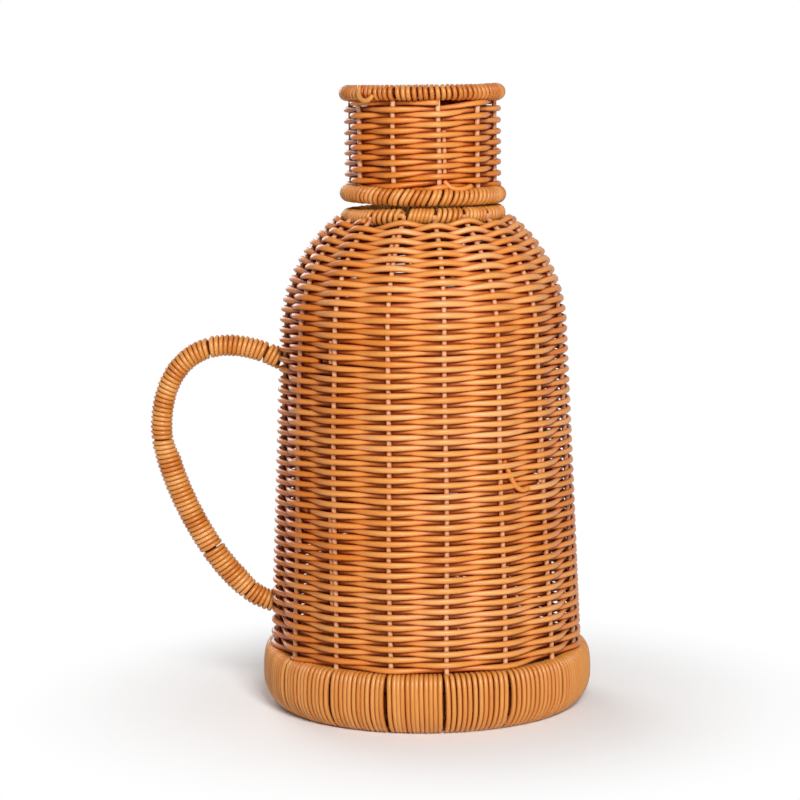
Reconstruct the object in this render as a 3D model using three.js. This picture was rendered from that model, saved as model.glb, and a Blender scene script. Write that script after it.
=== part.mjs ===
// Woven jug of round synthetic-cane strands. A bottle-shaped body is woven round upright stakes on a
// wound foot ring, carries a wound bow handle at one side, and takes a woven cap that lifts off.
// Millimetres, +Z up. The origin is the centre of the underside and the handle points along -X.

import * as THREE from 'three';

// Overall sizes of the jug with its cap on.
const HEIGHT = 280;
const FOOT_DIAMETER = 150;
const RIM_DIAMETER = 75;
const SHOULDER_DIAMETER = 128.4; // over the weave, where the dome begins
const CAP_HEIGHT = 53.3;

// Foot ring, floor and cap top.
const FOOT_HEIGHT = 27;
const FOOT_THICKNESS = 11.5;
const FOOT_EDGE = 4; // bevel along the upper and inner edges of the foot ring
const FOOT_LOWER_EDGE = 5.5; // bevel along its outer lower edge
const FOOT_HOOP_SPACING = 12;
const FLOOR_THICKNESS = 5;
const CAP_TOP_THICKNESS = 3;
const CAP_TOP_DROP = 2.5; // from the top of the rim down to the cap top
const CAP_TOP_RIDGE = 0.8; // height of the woven rows on the cap top
const CAP_STAKE_INSET = 2.4; // from the middle of the cap's rings inwards to its stakes

// Strands and wire. Pieces that touch on the real jug stand one clearance apart.
const STAKE_DIAMETER = 2.2;
const WEAVER_THICKNESS = 1.9;
const WEAVER_HEIGHT = 2.1;
const ROW_GAP = 0.4;
const HOOP_DIAMETER = 2.4;
const WRAP_THICKNESS = 2;
const WRAP_GAP = 0.6;
const WRAP_BEVEL = 0.7;
const CLEARANCE = 0.3;

// Counts. The stakes of a wall are even in number, so two strands chase each other up it, half a turn
// apart: one passes the even stakes outside and the odd ones inside, and the other the reverse.
const BODY_STAKES = 16;
const CAP_STAKES = 10;
const CHASING_STRANDS = 2;
const BODY_LENGTHS = 3; // pieces that each strand of the body is cut into
const CAP_TOP_ROWS = 8;
const RING_TURNS = 24;
const HANDLE_TURNS = 24;
const BODY_STAKE_ANGLE = 7.3; // degrees, from +X to the first body stake
const CAP_STAKE_ANGLE = -78; // degrees, from +X to the first cap stake

// Handle: heights of its two roots in the wall and of its bow, and how its centreline leaves each of
// them, as a run outwards and a rise.
const HANDLE_DIAMETER = 10;
const HANDLE_REACH = 119.5;
const HANDLE_BOW_HEIGHT = 125.5;
const HANDLE_UPPER_ROOT = 156;
const HANDLE_UPPER_RUN = 32;
const HANDLE_UPPER_RISE = 17.5;
const HANDLE_LOWER_ROOT = 45.5;
const HANDLE_LOWER_RUN = 29.5;
const HANDLE_LOWER_RISE = 4;
const HANDLE_BOW_ABOVE = 34.5;
const HANDLE_BOW_BELOW = 21.5;

// Facets.
const STAKE_SIDES = 5;
const DOME_STEPS = 8;
const HOOP_SIDES = 4;
const HOOP_SEGMENTS = 36;
const DISC_SEGMENTS = 40;
const CAP_TOP_SEGMENTS = 28;
const CORE_STEPS = 20;
const SECTION_STEPS = 6; // stations in one turn of a winding, at the corners of a hexagon

const CANE = { roughness: 0.45, metalness: 0 };
const FINISHES = {
  weaver: { color: 0xc97b38, ...CANE },
  stake: { color: 0xd9a273, ...CANE },
  wrap: { color: 0xcf8442, ...CANE },
  woven: { color: 0xb96d30, ...CANE },
  wire: { color: 0x6b5a4a, roughness: 0.5, metalness: 0.7 },
};

// Rings: a wire hoop under a winding.
const ringSection = HOOP_DIAMETER / 2 + CLEARANCE + WRAP_THICKNESS;
const ringRadius = RIM_DIAMETER / 2 - ringSection;
const ringReach = ringSection + CLEARANCE; // how near to a ring's middle its neighbours come
const rimHeight = HEIGHT - ringSection;
const capSeatHeight = HEIGHT - CAP_HEIGHT + ringSection;
const neckHeight = HEIGHT - CAP_HEIGHT - CLEARANCE - ringSection;

// Weave: the middle of a strand passes a stake at this offset from the stake's middle.
const weaveOffset = STAKE_DIAMETER / 2 + CLEARANCE + WEAVER_THICKNESS / 2;
const halfWall = weaveOffset + WEAVER_THICKNESS / 2;
const rowPitch = WEAVER_HEIGHT + ROW_GAP;

// Body wall along its stakes: upright in the foot, a straight lean, then a dome round a point on the
// axis that ends at the hoop of the neck ring.
const footBore = FOOT_DIAMETER / 2 - FOOT_THICKNESS;
const footStakeRadius = footBore + WRAP_THICKNESS + CLEARANCE + STAKE_DIAMETER / 2;
const shoulderRadius = SHOULDER_DIAMETER / 2 - halfWall;
const shoulderHeight = neckHeight - Math.sqrt(shoulderRadius ** 2 - ringRadius ** 2);
const lean = new THREE.Vector2(shoulderRadius - footStakeRadius, shoulderHeight - FOOT_HEIGHT);
const leanLength = lean.length();
lean.normalize();
const bodyWallLength = leanLength + shoulderRadius * Math.acos(ringRadius / shoulderRadius);

// Cap wall: upright, from the middle of its seat ring to the middle of its rim ring.
const capStakeRadius = ringRadius - CAP_STAKE_INSET;
const capWallLength = rimHeight - capSeatHeight;

// A point or a direction of the (radius, height) half plane, turned about the jug's axis.
function turned(radius, height, angle) {
  return new THREE.Vector3(radius * Math.cos(angle), radius * Math.sin(angle), height);
}

// Stake line and outward normal of the body wall at a distance along it from the top of the foot.
function bodyWall(along) {
  if (along <= leanLength) {
    const line = new THREE.Vector2(footStakeRadius, FOOT_HEIGHT).addScaledVector(lean, along);
    return { line, normal: new THREE.Vector2(lean.y, -lean.x) };
  }
  const climb = (along - leanLength) / shoulderRadius;
  const normal = new THREE.Vector2(Math.cos(climb), Math.sin(climb));
  const line = normal.clone().multiplyScalar(shoulderRadius).add(new THREE.Vector2(0, shoulderHeight));
  return { line, normal };
}

// The same for the cap wall, from the middle of its seat ring.
function capWall(along) {
  const line = new THREE.Vector2(capStakeRadius, capSeatHeight + along);
  return { line, normal: new THREE.Vector2(1, 0) };
}

// Closed solid through rings of equal length. Each ring runs counter-clockwise about the direction of
// travel, so that the faces point outwards.
function loft(rings) {
  const sides = rings[0].length;
  const faces = [];
  for (let ring = 0; ring + 1 < rings.length; ring += 1) {
    for (let side = 0; side < sides; side += 1) {
      const a = ring * sides + side;
      const b = ring * sides + (side + 1) % sides;
      faces.push(a, b, b + sides, a, b + sides, a + sides);
    }
  }
  const last = (rings.length - 1) * sides;
  for (let side = 1; side + 1 < sides; side += 1) {
    faces.push(0, side + 1, side, last, last + side, last + side + 1);
  }
  const geometry = new THREE.BufferGeometry();
  const positions = rings.flat().flatMap((point) => point.toArray());
  geometry.setAttribute('position', new THREE.Float32BufferAttribute(positions, 3));
  geometry.setIndex(faces);
  return geometry;
}

// Wire hoop: a small square section, corner outwards, turned about the axis. The facets' corners lie
// outside the true circle by as much as their middles lie inside it.
function hoop(radius, height) {
  const corner = radius / Math.cos(Math.PI / HOOP_SEGMENTS / Math.SQRT2);
  const profile = [];
  for (let side = 0; side <= HOOP_SIDES; side += 1) {
    const turn = 2 * Math.PI * (side % HOOP_SIDES) / HOOP_SIDES;
    const across = Math.cos(turn) * HOOP_DIAMETER / 2;
    profile.push(new THREE.Vector2(corner + across, height + Math.sin(turn) * HOOP_DIAMETER / 2));
  }
  return new THREE.LatheGeometry(profile, HOOP_SEGMENTS).rotateX(Math.PI / 2);
}

// Plain round disc.
function disc(radius, bottom, thickness) {
  const geometry = new THREE.CylinderGeometry(radius, radius, thickness, DISC_SEGMENTS);
  return geometry.rotateX(Math.PI / 2).translate(0, 0, bottom + thickness / 2);
}

// Woven disc: flat below, with a ridge above for each row of its weave, turned about the axis.
function wovenDisc(radius, bottom, thickness) {
  const top = bottom + thickness;
  const profile = [new THREE.Vector2(0, bottom), new THREE.Vector2(radius, bottom)];
  for (let step = 2 * CAP_TOP_ROWS; step >= 0; step -= 1) {
    const ridge = step % 2 === 0 ? top - CAP_TOP_RIDGE : top;
    profile.push(new THREE.Vector2(radius * step / (2 * CAP_TOP_ROWS), ridge));
  }
  return new THREE.LatheGeometry(profile, CAP_TOP_SEGMENTS).rotateX(Math.PI / 2);
}

// Round strand standing in the wall at one angle, through stations with a line point and a normal.
function stake(stations, angle) {
  const around = turned(1, 0, angle + Math.PI / 2);
  return loft(stations.map(({ line, normal }) => {
    const middle = turned(line.x, line.y, angle);
    const outward = turned(normal.x, normal.y, angle);
    return Array.from({ length: STAKE_SIDES }, (_, side) => {
      const turn = 2 * Math.PI * side / STAKE_SIDES;
      return middle.clone()
        .addScaledVector(outward, Math.cos(turn) * STAKE_DIAMETER / 2)
        .addScaledVector(around, Math.sin(turn) * STAKE_DIAMETER / 2);
    });
  }));
}

// Strands that chase each other up a wall, each starting its share of a turn after the one before.
function chasing(weave) {
  return Array.from({ length: CHASING_STRANDS }, (_, strand) => (
    { ...weave, strand, first: strand * weave.stakes / CHASING_STRANDS }));
}

// Section of a weaving strand where it crosses a stake, with a flat back and a ridge outwards. The first
// strand passes the even stakes outside, the second the odd ones.
function weaverSection(weave, crossing) {
  const angle = weave.firstAngle + 2 * Math.PI * crossing / weave.stakes;
  const turns = (crossing - weave.first) / weave.stakes;
  const { line, normal } = weave.wall(weave.start + CHASING_STRANDS * rowPitch * turns);
  const offset = (crossing + weave.strand) % CHASING_STRANDS === 0 ? weaveOffset : -weaveOffset;
  const corners = [
    [-WEAVER_THICKNESS / 2, WEAVER_HEIGHT / 2],
    [WEAVER_THICKNESS / 2, 0],
    [-WEAVER_THICKNESS / 2, -WEAVER_HEIGHT / 2],
  ];
  return corners.map(([out, up]) => turned(
    line.x + normal.x * (offset + out) - normal.y * up,
    line.y + normal.y * (offset + out) + normal.x * up,
    angle,
  ));
}

// Strand from one crossing to another, straight from stake to stake. A fractional crossing lies
// between two stakes.
function weaver(weave, first, last) {
  const crossings = [first];
  for (let crossing = Math.floor(first) + 1; crossing < last; crossing += 1) {
    crossings.push(crossing);
  }
  crossings.push(last);
  return loft(crossings.map((crossing) => {
    const below = Math.floor(crossing);
    const next = weaverSection(weave, below + 1);
    return weaverSection(weave, below).map((point, i) => point.lerp(next[i], crossing - below));
  }));
}

// The last crossing of a strand before the end of the weave.
function lastCrossing(weave) {
  const turns = (weave.end - weave.start) / (CHASING_STRANDS * rowPitch);
  return weave.first + Math.floor(turns * weave.stakes);
}

// Corner of a winding's hexagonal section, flat above and below, at a distance from its middle.
function hexagon(station, distance) {
  const turn = 2 * Math.PI * station / SECTION_STEPS;
  const flat = Math.sin(Math.PI / 3);
  return new THREE.Vector2(Math.cos(turn) * distance, Math.sin(turn) / flat * distance);
}

// Four corners of a wound band: its outer face, narrower by the bevels, then its inner face.
function bandCorners(halfWidth, outer, inner, place) {
  return [
    place(outer, -halfWidth + WRAP_BEVEL),
    place(outer, halfWidth - WRAP_BEVEL),
    place(inner, halfWidth),
    place(inner, -halfWidth),
  ];
}

// Least distance between points of a winding that lie more than half a turn apart.
function leastGap(rings, stationsPerTurn) {
  const middles = rings.slice(1).map((ring, i) => ring.map((p, j) => p.clone().lerp(rings[i][j], 0.5)));
  const points = rings.map((ring, i) => (i > 0 ? [...middles[i - 1], ...ring] : ring));
  let least = Infinity;
  points.forEach((here, i) => {
    points.slice(i + Math.ceil(stationsPerTurn / 2)).forEach((there) => {
      here.forEach((p) => there.forEach((q) => { least = Math.min(least, p.distanceTo(q)); }));
    });
  });
  return least;
}

function winding(name, rings, stationsPerTurn) {
  console.log(`${name}: least gap to itself ${leastGap(rings, stationsPerTurn).toFixed(2)} mm`);
  return loft(rings);
}

// Band wound round a ring's hoop, from the back of the jug round to one station short of its start.
function ringWinding(name, height) {
  const inner = ringSection - WRAP_THICKNESS;
  const bore = ringRadius - ringSection;
  const halfWidth = Math.PI * bore / RING_TURNS - WRAP_GAP / 2;
  const stations = RING_TURNS * SECTION_STEPS;
  const rings = [];
  for (let station = 0; station < stations; station += 1) {
    const angle = Math.PI / 2 + 2 * Math.PI * station / stations;
    rings.push(bandCorners(halfWidth, ringSection, inner, (distance, along) => {
      const corner = hexagon(station, distance);
      return turned(ringRadius + corner.x, height + corner.y, angle + along / bore);
    }));
  }
  return winding(name, rings, SECTION_STEPS);
}

// One turn round the foot ring's section, as places across and up from its middle and the share of the
// step to the next bay. The band steps from bay to bay behind the stakes, on the inner face.
function footTurn(inset) {
  const across = FOOT_THICKNESS / 2 - inset;
  const up = FOOT_HEIGHT / 2 - inset;
  const edge = FOOT_EDGE - inset * (2 - Math.SQRT2);
  const lower = FOOT_LOWER_EDGE - inset * (2 - Math.SQRT2);
  return [
    [across, lower - up, 0],
    [across, up - edge, 0],
    [across - edge, up, 0],
    [edge - across, up, 0],
    [-across, up - edge, 0],
    [-across, (up - edge) / 3, 1 / 3],
    [-across, (edge - up) / 3, 2 / 3],
    [-across, edge - up, 1],
    [edge - across, -up, 1],
    [across - lower, -up, 1],
  ];
}

const bay = 2 * Math.PI / BODY_STAKES;
const bodyStakeAngle = THREE.MathUtils.degToRad(BODY_STAKE_ANGLE);
const footBandHalfAngle = bay / 2 - Math.asin((STAKE_DIAMETER / 2 + CLEARANCE) / footStakeRadius);

// Wide band wound round the foot ring, one turn in each bay between two stakes. It starts on the
// underside of the first bay and ends above its own start.
function footWinding(name) {
  const middle = FOOT_DIAMETER / 2 - FOOT_THICKNESS / 2;
  const outer = footTurn(0);
  const inner = footTurn(WRAP_THICKNESS);
  const spread = [-footBandHalfAngle, 0, footBandHalfAngle];
  const rings = [];
  for (let turn = -1; turn < BODY_STAKES; turn += 1) {
    outer.forEach((place, station) => {
      const angle = bodyStakeAngle + bay * (turn + 0.5 + place[2]);
      const corner = ([across, up], by) => turned(middle + across, FOOT_HEIGHT / 2 + up, angle + by);
      const face = spread.map((by) => corner(place, by));
      const back = spread.map((by) => corner(inner[station], -by));
      rings.push([...face, ...back]);
    });
  }
  const underside = outer.filter(([, up]) => up === -FOOT_HEIGHT / 2).length;
  return winding(name, rings.slice(outer.length - underside, -underside), outer.length);
}

// Handle centreline: two curves in the XZ plane that meet at the bow.
function wallRadius(height) {
  return footStakeRadius + lean.x / lean.y * (height - FOOT_HEIGHT);
}
const handlePoint = (out, height) => new THREE.Vector3(-out, 0, height);
const bow = handlePoint(HANDLE_REACH, HANDLE_BOW_HEIGHT);
const upperRoot = wallRadius(HANDLE_UPPER_ROOT);
const lowerRoot = wallRadius(HANDLE_LOWER_ROOT);
const handleLine = new THREE.CurvePath();
handleLine.add(new THREE.CubicBezierCurve3(
  handlePoint(upperRoot, HANDLE_UPPER_ROOT),
  handlePoint(upperRoot + HANDLE_UPPER_RUN, HANDLE_UPPER_ROOT + HANDLE_UPPER_RISE),
  handlePoint(HANDLE_REACH, HANDLE_BOW_HEIGHT + HANDLE_BOW_ABOVE),
  bow,
));
handleLine.add(new THREE.CubicBezierCurve3(
  bow,
  handlePoint(HANDLE_REACH, HANDLE_BOW_HEIGHT - HANDLE_BOW_BELOW),
  handlePoint(lowerRoot + HANDLE_LOWER_RUN, HANDLE_LOWER_ROOT + HANDLE_LOWER_RISE),
  handlePoint(lowerRoot, HANDLE_LOWER_ROOT),
));
const handleLength = handleLine.getLength();
const handleCoreRadius = HANDLE_DIAMETER / 2 - WRAP_THICKNESS - CLEARANCE;

// Point of the handle at a distance along its line and a place across it.
function handlePlace(along, corner) {
  const tangent = handleLine.getTangentAt(along / handleLength);
  const sideways = new THREE.Vector3(0, 1, 0);
  const away = new THREE.Vector3().crossVectors(tangent, sideways);
  return handleLine.getPointAt(along / handleLength)
    .addScaledVector(away, corner.x)
    .addScaledVector(sideways, corner.y);
}

// The angle from the middle of the handle's bay to the handle.
const handleBay = (Math.PI - bodyStakeAngle) / bay;
const handleAside = bay * Math.abs(handleBay - Math.floor(handleBay) - 0.5);

// How much a round end of the handle is cut back from its root so that it just clears the weave. The
// strands stand out less the nearer they are to the middle of a bay.
function handleTrim(root, run, rise, radius) {
  const halfBay = root * Math.sin(bay / 2);
  const offset = weaveOffset * (radius + root * Math.tan(handleAside)) / halfBay;
  const chord = (root + offset) * Math.cos(bay / 2) + WEAVER_THICKNESS / 2;
  const weaveFace = chord / Math.cos(handleAside) + radius * Math.tan(handleAside);
  const tilt = Math.atan2(rise, run);
  return (weaveFace - root + CLEARANCE + radius * Math.sin(tilt)) / Math.cos(tilt);
}

function handleSpan(radius) {
  const start = handleTrim(upperRoot, HANDLE_UPPER_RUN, HANDLE_UPPER_RISE, radius);
  const end = handleTrim(lowerRoot, HANDLE_LOWER_RUN, HANDLE_LOWER_RISE, radius);
  return [start, handleLength - end];
}

function handleCore() {
  const [start, end] = handleSpan(handleCoreRadius);
  const rings = [];
  for (let step = 0; step <= CORE_STEPS; step += 1) {
    const along = start + (end - start) * step / CORE_STEPS;
    const corners = Array.from({ length: SECTION_STEPS }, (_, i) => hexagon(-i, handleCoreRadius));
    rings.push(corners.map((corner) => handlePlace(along, corner)));
  }
  return loft(rings);
}

function handleWinding(name) {
  const outer = HANDLE_DIAMETER / 2;
  const [start, end] = handleSpan(outer);
  const stations = HANDLE_TURNS * SECTION_STEPS;
  const pitch = (end - start) / (HANDLE_TURNS + 1);
  const halfWidth = (pitch - WRAP_GAP) / 2;
  const rings = [];
  for (let station = 0; station <= stations; station += 1) {
    const middle = start + pitch * (0.5 + station / SECTION_STEPS);
    rings.push(bandCorners(halfWidth, outer, outer - WRAP_THICKNESS, (distance, along) => (
      handlePlace(middle + along, hexagon(station, distance)))));
  }
  return winding(name, rings, SECTION_STEPS);
}

function piece(name, geometry, finish) {
  const mesh = new THREE.Mesh(geometry, new THREE.MeshStandardMaterial(finish));
  mesh.name = name;
  return mesh;
}

const numbered = (name, index) => `${name}_${String(index + 1).padStart(2, '0')}`;

// Foot ring with its two hoops, its winding and the floor inside it.
function foot() {
  const group = new THREE.Group();
  const hoopRadius = footStakeRadius + STAKE_DIAMETER / 2 + CLEARANCE + HOOP_DIAMETER / 2;
  const lower = (FOOT_HEIGHT - FOOT_HOOP_SPACING) / 2;
  const floorRadius = footBore * Math.cos(footBandHalfAngle / 2) - CLEARANCE;
  group.add(piece('foot_hoop_lower', hoop(hoopRadius, lower), FINISHES.wire));
  group.add(piece('foot_hoop_upper', hoop(hoopRadius, lower + FOOT_HOOP_SPACING), FINISHES.wire));
  group.add(piece('foot_wrap', footWinding('foot_wrap'), FINISHES.wrap));
  group.add(piece('base_floor', disc(floorRadius, 0, FLOOR_THICKNESS), FINISHES.woven));
  return group;
}

// Body stakes from inside the foot to the neck ring, and the strands woven round them.
function bodyWeave() {
  const group = new THREE.Group();
  const upright = new THREE.Vector2(1, 0);
  const stakeFoot = WRAP_THICKNESS + CLEARANCE;
  const stations = [
    { line: new THREE.Vector2(footStakeRadius, stakeFoot), normal: upright },
    { line: new THREE.Vector2(footStakeRadius, FOOT_HEIGHT), normal: upright },
  ];
  const stakeEnd = bodyWallLength - ringReach;
  for (let step = 0; step <= DOME_STEPS; step += 1) {
    stations.push(bodyWall(leanLength + (stakeEnd - leanLength) * step / DOME_STEPS));
  }
  for (let index = 0; index < BODY_STAKES; index += 1) {
    const angle = bodyStakeAngle + bay * index;
    group.add(piece(numbered('body_stake', index), stake(stations, angle), FINISHES.stake));
  }
  const weave = {
    wall: bodyWall,
    stakes: BODY_STAKES,
    firstAngle: bodyStakeAngle,
    start: CLEARANCE + WEAVER_HEIGHT / 2,
    end: bodyWallLength - ringReach - WEAVER_HEIGHT / 2,
  };
  const endGap = CLEARANCE / 2 / (ringRadius * bay); // a strand's cut end, as a share of a bay
  chasing(weave).forEach((strand) => {
    const crossings = lastCrossing(strand) - strand.first;
    const cut = (part) => strand.first + Math.round((crossings - 1) * part / BODY_LENGTHS) + 0.5;
    for (let part = 0; part < BODY_LENGTHS; part += 1) {
      const geometry = weaver(strand, cut(part) + endGap, cut(part + 1) - endGap);
      const index = strand.strand * BODY_LENGTHS + part;
      group.add(piece(numbered('body_weaver', index), geometry, FINISHES.weaver));
    }
  });
  return group;
}

function neckRing() {
  const group = new THREE.Group();
  group.add(piece('neck_hoop', hoop(ringRadius, neckHeight), FINISHES.wire));
  group.add(piece('neck_wrap', ringWinding('neck_wrap', neckHeight), FINISHES.wrap));
  return group;
}

function handle() {
  const group = new THREE.Group();
  group.add(piece('handle_core', handleCore(), FINISHES.wire));
  group.add(piece('handle_wrap', handleWinding('handle_wrap'), FINISHES.wrap));
  return group;
}

// Cap: two wound rings, stakes and two strands between them, and a closed top inside the rim.
function cap() {
  const group = new THREE.Group();
  const firstAngle = THREE.MathUtils.degToRad(CAP_STAKE_ANGLE);
  group.add(piece('cap_seat_hoop', hoop(ringRadius, capSeatHeight), FINISHES.wire));
  group.add(piece('cap_seat_wrap', ringWinding('cap_seat_wrap', capSeatHeight), FINISHES.wrap));
  group.add(piece('cap_rim_hoop', hoop(ringRadius, rimHeight), FINISHES.wire));
  group.add(piece('cap_rim_wrap', ringWinding('cap_rim_wrap', rimHeight), FINISHES.wrap));
  const stations = [capWall(ringReach), capWall(capWallLength - ringReach)];
  for (let index = 0; index < CAP_STAKES; index += 1) {
    const angle = firstAngle + 2 * Math.PI * index / CAP_STAKES;
    group.add(piece(numbered('cap_stake', index), stake(stations, angle), FINISHES.stake));
  }
  const weave = {
    wall: capWall,
    stakes: CAP_STAKES,
    firstAngle,
    start: ringReach + WEAVER_HEIGHT / 2,
    end: capWallLength - ringReach - WEAVER_HEIGHT / 2,
  };
  chasing(weave).forEach((strand) => {
    const geometry = weaver(strand, strand.first, lastCrossing(strand));
    group.add(piece(numbered('cap_weaver', strand.strand), geometry, FINISHES.weaver));
  });
  const topRadius = ringRadius - ringReach;
  const topBottom = HEIGHT - CAP_TOP_DROP - CAP_TOP_THICKNESS;
  group.add(piece('cap_top', wovenDisc(topRadius, topBottom, CAP_TOP_THICKNESS), FINISHES.woven));
  return group;
}

const jug = new THREE.Group();
jug.add(foot(), bodyWeave(), neckRing(), handle(), cap());

export default jug;
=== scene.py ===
# %% [markdown]
# # A woven jug, strand by strand
# The jug is woven from round synthetic cane: upright stakes, strands that climb round them, and
# wound rings, foot and handle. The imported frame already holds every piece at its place. This lesson
# puts the true strands there, each as a circle carried along a path that numpy works out.

import bpy
import numpy as np
from mathutils import Matrix, Vector


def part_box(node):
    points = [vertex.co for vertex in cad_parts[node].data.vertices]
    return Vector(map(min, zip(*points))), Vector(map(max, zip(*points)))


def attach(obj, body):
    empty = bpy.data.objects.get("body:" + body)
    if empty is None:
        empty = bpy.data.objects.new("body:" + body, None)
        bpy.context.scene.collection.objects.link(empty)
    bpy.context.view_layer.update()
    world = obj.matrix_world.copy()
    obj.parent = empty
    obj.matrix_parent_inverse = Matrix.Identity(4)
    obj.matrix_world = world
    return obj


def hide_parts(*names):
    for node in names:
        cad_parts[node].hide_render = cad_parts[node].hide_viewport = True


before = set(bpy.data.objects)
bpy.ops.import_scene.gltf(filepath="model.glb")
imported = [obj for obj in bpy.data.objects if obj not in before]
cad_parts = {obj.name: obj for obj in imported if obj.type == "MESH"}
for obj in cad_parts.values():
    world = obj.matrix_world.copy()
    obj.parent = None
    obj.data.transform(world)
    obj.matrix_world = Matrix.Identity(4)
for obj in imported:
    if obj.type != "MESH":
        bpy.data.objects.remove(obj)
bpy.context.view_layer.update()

# %% [markdown]
# ## Camera
# The camera stands level with the rim, so that the rim shows edge on while the foot shows as an
# ellipse. A short lens close by would shrink the foot below the cap. A long lens farther away keeps
# the sides almost parallel, as in a product picture.

# %% Camera
MM = 0.001
CAMERA_DISTANCE = 1150
CAMERA_HEIGHT = 281
CAMERA_ASIDE = -11.2
CAMERA_PITCH = 7.095  # degrees downwards
CAMERA_ROLL = -0.58  # degrees
LENS = 115.0
SENSOR_WIDTH = 36.0


def make_camera():
    """Camera that looks along +Y, pitched down and rolled by small angles."""
    data = bpy.data.cameras.new("camera")
    data.lens = LENS
    data.sensor_width = SENSOR_WIDTH
    camera = bpy.data.objects.new("camera", data)
    pitch = Matrix.Rotation(np.radians(90 - CAMERA_PITCH), 4, "X")
    roll = Matrix.Rotation(np.radians(CAMERA_ROLL), 4, "Z")
    place = Vector((CAMERA_ASIDE, -CAMERA_DISTANCE, CAMERA_HEIGHT)) * MM
    camera.matrix_world = Matrix.Translation(place) @ pitch @ roll
    bpy.context.collection.objects.link(camera)
    bpy.context.scene.camera = camera
    return camera


print("camera at", tuple(round(v, 3) for v in make_camera().matrix_world.translation))

# %% [markdown]
# ## Sizes
# The frame gives the heights, the outer sizes and the number of stakes, so those are read from it.
# What is left to name are the strands themselves and the line that the stakes follow: upright in the
# foot, a straight lean, then a dome round a point on the jug's axis that ends in the neck ring.

# %% Sizes, in millimetres
STRAND_RADIUS = 1.2
STAKE_RADIUS = 1.1
WRAP_RADIUS = 1.12
SHOULDER_STAKE_RADIUS = 62.3
FOOT_STAKE_RADIUS = 68.4
CAP_STAKE_RADIUS = 32.2
RIM_SECTION = 3.7  # radius of a ring with its winding
RING_SECTION = 3.7
SEAT_SECTION = 4.0
RING_RADIUS = 33.4
NECK_DROP = 0.3  # the neck ring lies this much lower than its node
SEAT_RISE = 0.6  # the seat ring lies this much higher than its node


def node_box(node):
    """Lowest and highest corner of a node of the frame, in millimetres."""
    return [np.array(corner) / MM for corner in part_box(node)]


def middle_height(node):
    """Height half way between the lowest and the highest corner of a node."""
    low, high = node_box(node)
    return (low[2] + high[2]) / 2


def count_nodes(prefix):
    """How many nodes of the frame have a name that starts like this."""
    return sum(name.startswith(prefix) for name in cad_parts)


# %% Sizes that follow the frame
BODY_STAKES = count_nodes("body_stake")
CAP_STAKES = count_nodes("cap_stake")
FOOT_RADIUS = node_box("foot_wrap")[1][0]
FOOT_TOP = node_box("foot_wrap")[1][2]
NECK_HEIGHT = middle_height("neck_wrap") - NECK_DROP
SEAT_HEIGHT = middle_height("cap_seat_wrap") + SEAT_RISE
RIM_HEIGHT = node_box("cap_rim_wrap")[1][2] - RIM_SECTION
RIM_RADIUS = node_box("cap_rim_wrap")[1][0] - RIM_SECTION
SHOULDER_HEIGHT = NECK_HEIGHT - np.sqrt(SHOULDER_STAKE_RADIUS**2 - RING_RADIUS**2)
LEAN = np.array([SHOULDER_STAKE_RADIUS - FOOT_STAKE_RADIUS, SHOULDER_HEIGHT - FOOT_TOP])
LEAN_LENGTH = np.hypot(*LEAN)
LEAN_ACROSS, LEAN_UP = LEAN / LEAN_LENGTH
WALL_LENGTH = LEAN_LENGTH + SHOULDER_STAKE_RADIUS * np.arccos(RING_RADIUS / SHOULDER_STAKE_RADIUS)
CAP_WALL_LENGTH = RIM_HEIGHT - SEAT_HEIGHT
print(f"foot {FOOT_RADIUS:.1f}, neck ring at {NECK_HEIGHT:.1f}, wall {WALL_LENGTH:.1f} mm along")
print(BODY_STAKES, "body stakes and", CAP_STAKES, "cap stakes")

# %% [markdown]
# ## From a path to a strand
# Every strand is the same surface: a circle carried along a path. A bevelled curve could do that too,
# but it may twist, and it doesn't know which of its sides looks inwards. Here the path's direction and
# a vector that points out of the wall give the plane of each circle, so a strand keeps its inner side.

# %% Paths and tubes
ROUND_SIDES = 8
WANDER_SINES = 3
WANDER_STRETCH = (0.6, 1.6)


def polar(radius, angle, height):
    """Points at a radius and angle about the jug's axis, at a height."""
    return np.stack([radius * np.cos(angle), radius * np.sin(angle), height + 0 * angle], -1)


def unit(vectors):
    """Each vector divided by its length."""
    return vectors / np.linalg.norm(vectors, axis=-1, keepdims=True)


def path_length(path):
    """Length of a path up to each of its points: the running sum of its steps."""
    return np.concatenate([[0], np.cumsum(np.linalg.norm(np.diff(path, axis=0), axis=1))])


def smooth(share):
    """Share of a step, held between 0 and 1, with a level start and end: t^2 (3 - 2 t)."""
    t = np.clip(share, 0, 1)
    return t * t * (3 - 2 * t)


def wander(x, size, wavelength, seed):
    """Smooth unevenness: the mean of three sines of x with wavelengths round the given one and
    random phases, so that it stays within the given size."""
    draw = np.random.default_rng(seed)
    stretch = draw.uniform(*WANDER_STRETCH, WANDER_SINES)
    phase = draw.uniform(0, 2 * np.pi, WANDER_SINES)
    angle = np.asarray(x)[..., None] * 2 * np.pi / (wavelength * stretch) + phase
    return size * np.sin(angle).mean(-1)


def bezier(points, share):
    """Cubic curve (1-t)^3 P0 + 3 (1-t)^2 t P1 + 3 (1-t) t^2 P2 + t^3 P3."""
    t = share[:, None]
    a, b, c, d = np.array(points)
    return (1 - t) ** 3 * a + 3 * (1 - t) ** 2 * t * b + 3 * (1 - t) * t**2 * c + t**3 * d


def tube(centre, outward, radius, sides=ROUND_SIDES, squeeze=1.0):
    """Circle carried along a path: centre + radius (cos a N + squeeze sin a B), with B across the
    path and the outward vector, and N square to both B and the path."""
    along = unit(np.gradient(centre, axis=0))
    across = unit(np.cross(along, outward))
    normal = np.cross(across, along)
    turn = np.linspace(0, 2 * np.pi, sides, endpoint=False)[:, None]
    tall = np.reshape(squeeze, (-1, 1, 1)) * np.sin(turn) * across[:, None]
    return centre[:, None] + radius * (np.cos(turn) * normal[:, None] + tall)


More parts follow.
